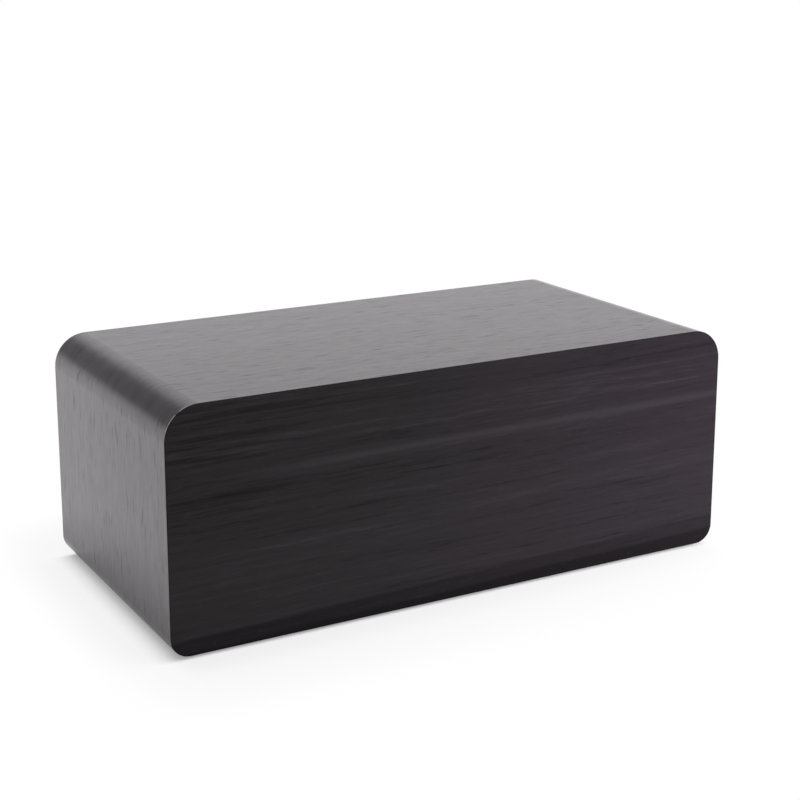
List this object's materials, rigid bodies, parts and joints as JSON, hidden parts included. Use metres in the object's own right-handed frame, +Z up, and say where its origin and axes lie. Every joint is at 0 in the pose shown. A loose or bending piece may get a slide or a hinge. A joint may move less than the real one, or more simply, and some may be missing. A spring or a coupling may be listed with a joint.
{
  "type": "desk alarm clock",
  "caption": "Black wood-grain block clock with rounded long edges, a hidden segment display behind the front veneer, rear keys, a power inlet and a battery bay.",
  "frame": {"origin": "on the surface that the clock stands on, under the middle of the block", "axes": "+X along the width, to the right seen from the front; +Y to the back; +Z up"},
  "size_m": [0.15, 0.074, 0.0578],
  "materials": {
    "black_wood_wrap": "satin black open-grain veneer",
    "black_wood_front": "satin black open-grain veneer",
    "fibreboard": "fibreboard painted black",
    "rubber": "matt black self-adhesive pad",
    "diffuser_film": "milky film",
    "black_plastic": "fine spark-textured black moulding",
    "key_plastic": "smooth dark grey moulding",
    "circuit_board": "green solder mask",
    "lamp_resin": "clear resin over a yellow phosphor",
    "chip_resin": "moulded black resin",
    "bright_steel": "nickel plate",
    "dark_steel": "black zinc plate",
    "white_nylon": "natural nylon",
    "grey_ribbon": "grey flat cable",
    "cell_jacket": "plain printed sleeve",
    "red_wire": "red insulation",
    "black_wire": "black insulation"
  },
  "bodies": {
    "root": {"wrap_veneer": "black_wood_wrap", "front_sheet": "black_wood_front", "case_body": "fibreboard", "feet": "rubber", "diffuser_sheet": "diffuser_film", "light_mask": "black_plastic", "rear_cover": "black_plastic", "battery_bay": "black_plastic", "usb_tongue": "black_plastic", "switch_bodies": "black_plastic", "buzzer": "black_plastic", "display_board": "circuit_board", "control_board": "circuit_board", "segment_leds": "lamp_resin", "clock_chip": "chip_resin", "regulator_chip": "chip_resin", "display_resistors": "chip_resin", "temperature_sensor": "chip_resin", "clock_crystal": "bright_steel", "usb_shell": "bright_steel", "microphone": "bright_steel", "filter_capacitor": "bright_steel", "battery_springs": "bright_steel", "contact_plates": "bright_steel", "display_screws": "dark_steel", "cover_screws": "dark_steel", "control_screws": "dark_steel", "display_header": "white_nylon", "control_header": "white_nylon", "ribbon_plugs": "white_nylon", "ribbon_cable": "grey_ribbon", "battery_cells": "cell_jacket", "red_lead": "red_wire", "black_lead": "black_wire"},
    "set_button": {"set_button": "key_plastic", "set_plunger": "black_plastic"},
    "up_button": {"up_button": "key_plastic", "up_plunger": "black_plastic"},
    "down_button": {"down_button": "key_plastic", "down_plunger": "black_plastic"},
    "battery_door": {"battery_door": "black_plastic", "battery_door_latch": "black_plastic"}
  },
  "joints": [
    {"name": "set_press", "type": "slide", "parent": "root", "child": "set_button", "axis": [0, -1, 0], "range_m": [0, 0.0005], "stiffness_N_per_m": 2500},
    {"name": "up_press", "type": "slide", "parent": "root", "child": "up_button", "axis": [0, -1, 0], "range_m": [0, 0.0005], "stiffness_N_per_m": 2500},
    {"name": "down_press", "type": "slide", "parent": "root", "child": "down_button", "axis": [0, -1, 0], "range_m": [0, 0.0005], "stiffness_N_per_m": 2500},
    {"name": "battery_door_hinge", "type": "hinge", "parent": "root", "child": "battery_door", "pos_m": [-0.0629, 0.03435, 0.0293], "axis": [0, 0, 1], "range_deg": [0, 90], "deforming": ["battery_door_latch"]}
  ]
}
